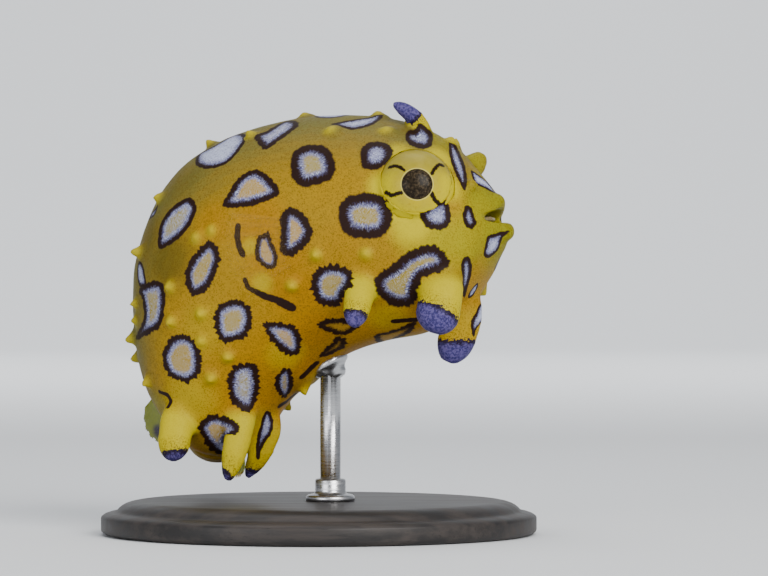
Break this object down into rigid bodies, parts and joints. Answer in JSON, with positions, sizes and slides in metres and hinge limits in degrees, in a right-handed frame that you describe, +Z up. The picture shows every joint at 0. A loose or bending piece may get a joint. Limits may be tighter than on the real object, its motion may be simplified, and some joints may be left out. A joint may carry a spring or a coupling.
{
  "type": "juvenile burrfish on a display stand",
  "caption": "Life-size display model of a young burrfish with a curled tail, fleshy lobes, short spines and eye spots, held by a rod on an oval base.",
  "frame": {"origin": "under the middle of the stand's oval base, on its underside", "axes": "+Z up, +X towards the fish's head, +Y away from the viewer of the picture, who sees the fish's right side"},
  "size_m": [0.034, 0.032, 0.0336],
  "materials": {
    "skin": "satin olive-gold skin with dark-ringed pale eye spots",
    "lobe": "satin bright yellow skin with violet-blue tips",
    "fin": "clear thin membrane over fine rays",
    "eye": "glossy golden iris with a dark speckled pupil",
    "beak": "smooth ivory",
    "stand_base": "satin dark stained wood",
    "stand_rod": "fine brushed"
  },
  "bodies": {
    "root": {"head": "skin", "trunk_front": "skin", "trunk_rear": "skin", "tail_root": "skin", "tail_stalk": "skin", "brow_lobe_right": "lobe", "brow_lobe_left": "lobe", "chin_lobe_right": "lobe", "chin_lobe_left": "lobe", "belly_lobe_right": "lobe", "belly_lobe_left": "lobe", "flank_lobe_right": "lobe", "flank_lobe_left": "lobe", "vent_lobe_right": "lobe", "vent_lobe_left": "lobe", "tail_fin": "fin", "dorsal_fin": "fin", "anal_fin": "fin", "pectoral_fin_right": "fin", "pectoral_fin_left": "fin", "eye_right": "eye", "eye_left": "eye", "beak": "beak", "stand_base": "stand_base", "stand_rod": "stand_rod"}
  },
  "joints": []
}
